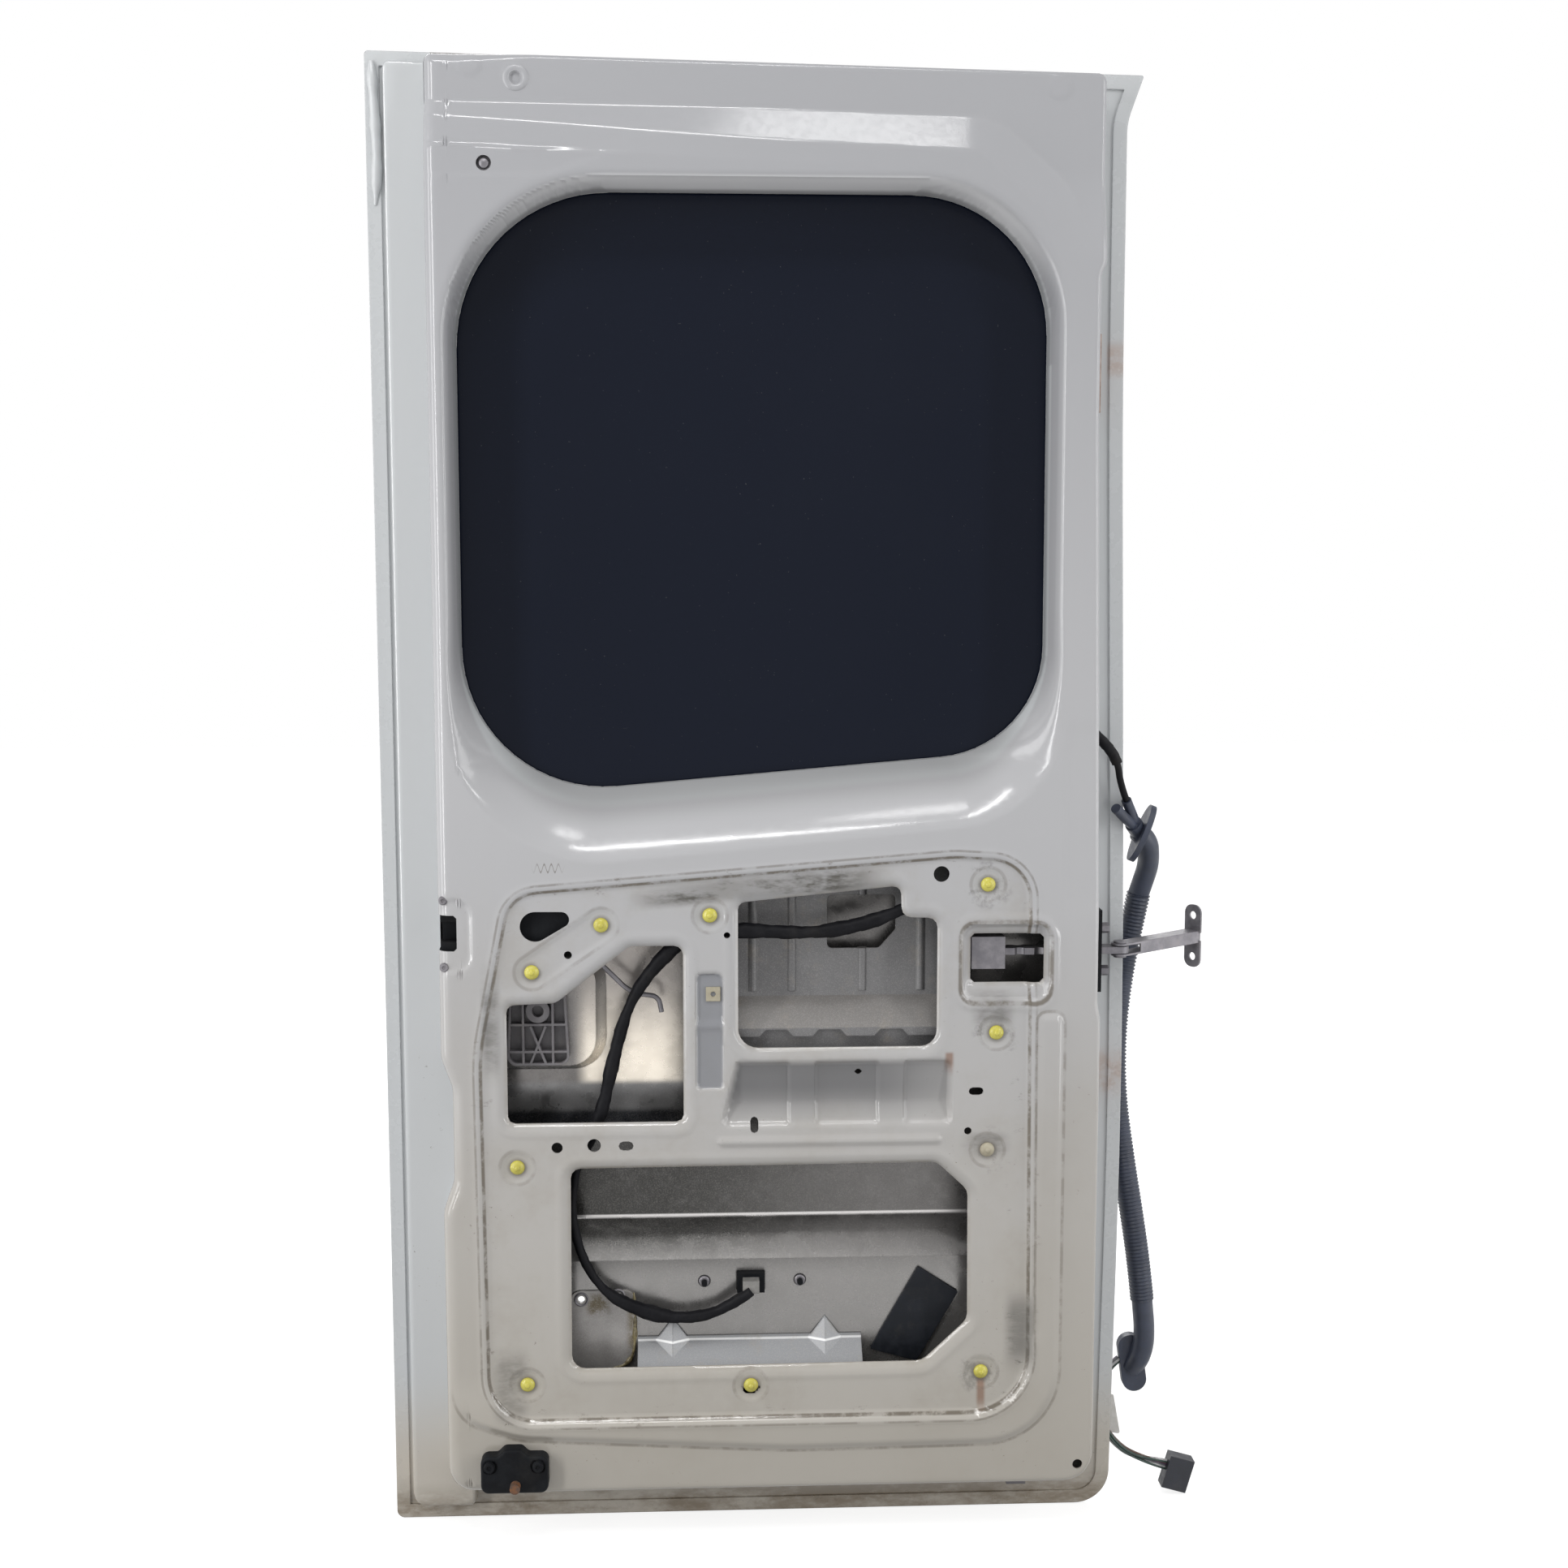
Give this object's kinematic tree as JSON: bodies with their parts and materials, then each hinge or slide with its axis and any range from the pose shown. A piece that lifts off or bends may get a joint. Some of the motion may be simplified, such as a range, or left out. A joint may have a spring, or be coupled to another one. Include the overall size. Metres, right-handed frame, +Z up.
{
  "type": "van rear barn door",
  "caption": "Rear barn door leaf of a van: bare pressed inner panel with access openings, bonded tinted window, check strap and trailing harness, bolted to hinges by its edge seats.",
  "frame": {"origin": "middle of the lower hinge seat's flat face on the hinge edge", "axes": "+Z up, +X out of the hinge edge, +Y towards the outside of the vehicle, -Y into the vehicle"},
  "size_m": [0.8495, 0.1399, 1.4879],
  "materials": {
    "panel_paint": "dirty white gloss paint",
    "skin_paint": "white gloss paint",
    "tinted_glass": "dark tint",
    "black_rubber": "matt",
    "zinc_steel": "zinc plated, dull",
    "black_plastic": "matt moulded",
    "grey_plastic": "matt moulded",
    "inner_coat": "thin grey primer",
    "yellow_plastic": "dirty yellow nylon",
    "pale_plastic": "natural nylon",
    "rusty_steel": "rusted",
    "harness_tape": "cloth tape",
    "tag_paper": "bare, creased"
  },
  "bodies": {
    "door": {"window_frame": "panel_paint", "inner_panel": "panel_paint", "hinge_panel": "panel_paint", "latch_panel": "panel_paint", "lower_panel": "panel_paint", "outer_skin": "skin_paint", "window_glass": "tinted_glass", "glass_bead": "black_rubber", "lower_hinge_plate": "zinc_steel", "upper_hinge_plate": "zinc_steel", "latch_body": "black_plastic", "lock_rod": "zinc_steel", "handle_carrier": "grey_plastic", "outside_handle": "black_plastic", "waist_beam": "inner_coat", "lower_rail": "inner_coat", "patch_plate": "inner_coat", "sound_pad": "black_rubber", "plate_lamp": "black_plastic", "lamp_plug": "black_plastic", "door_harness": "harness_tape", "trim_clips": "yellow_plastic", "pale_clip": "pale_plastic", "nut_clip": "pale_plastic", "guide_block": "black_plastic", "guide_pin": "rusty_steel", "foot_clip": "grey_plastic", "limiter": "black_plastic", "limiter_bolts": "zinc_steel", "harness_lead": "harness_tape", "upper_grommet": "black_rubber", "conduit": "black_plastic", "lower_grommet": "black_rubber", "wire_tail": "harness_tape", "tail_connector": "black_plastic", "blank_tag": "tag_paper"},
    "check_arm": {"check_arm": "zinc_steel", "arm_stop": "zinc_steel"},
    "check_bracket": {"check_bracket": "zinc_steel", "check_pin": "zinc_steel"}
  },
  "joints": [
    {"name": "check_arm_slide", "type": "slide", "parent": "door", "child": "check_arm", "axis": [1, 0, 0], "range_m": [0, 0.058]},
    {"name": "check_bracket_pivot", "type": "hinge", "parent": "check_arm", "child": "check_bracket", "pos_m": [0.024, 0, 0.135], "axis": [0, 0, 1], "range_deg": [-96, 4]}
  ]
}
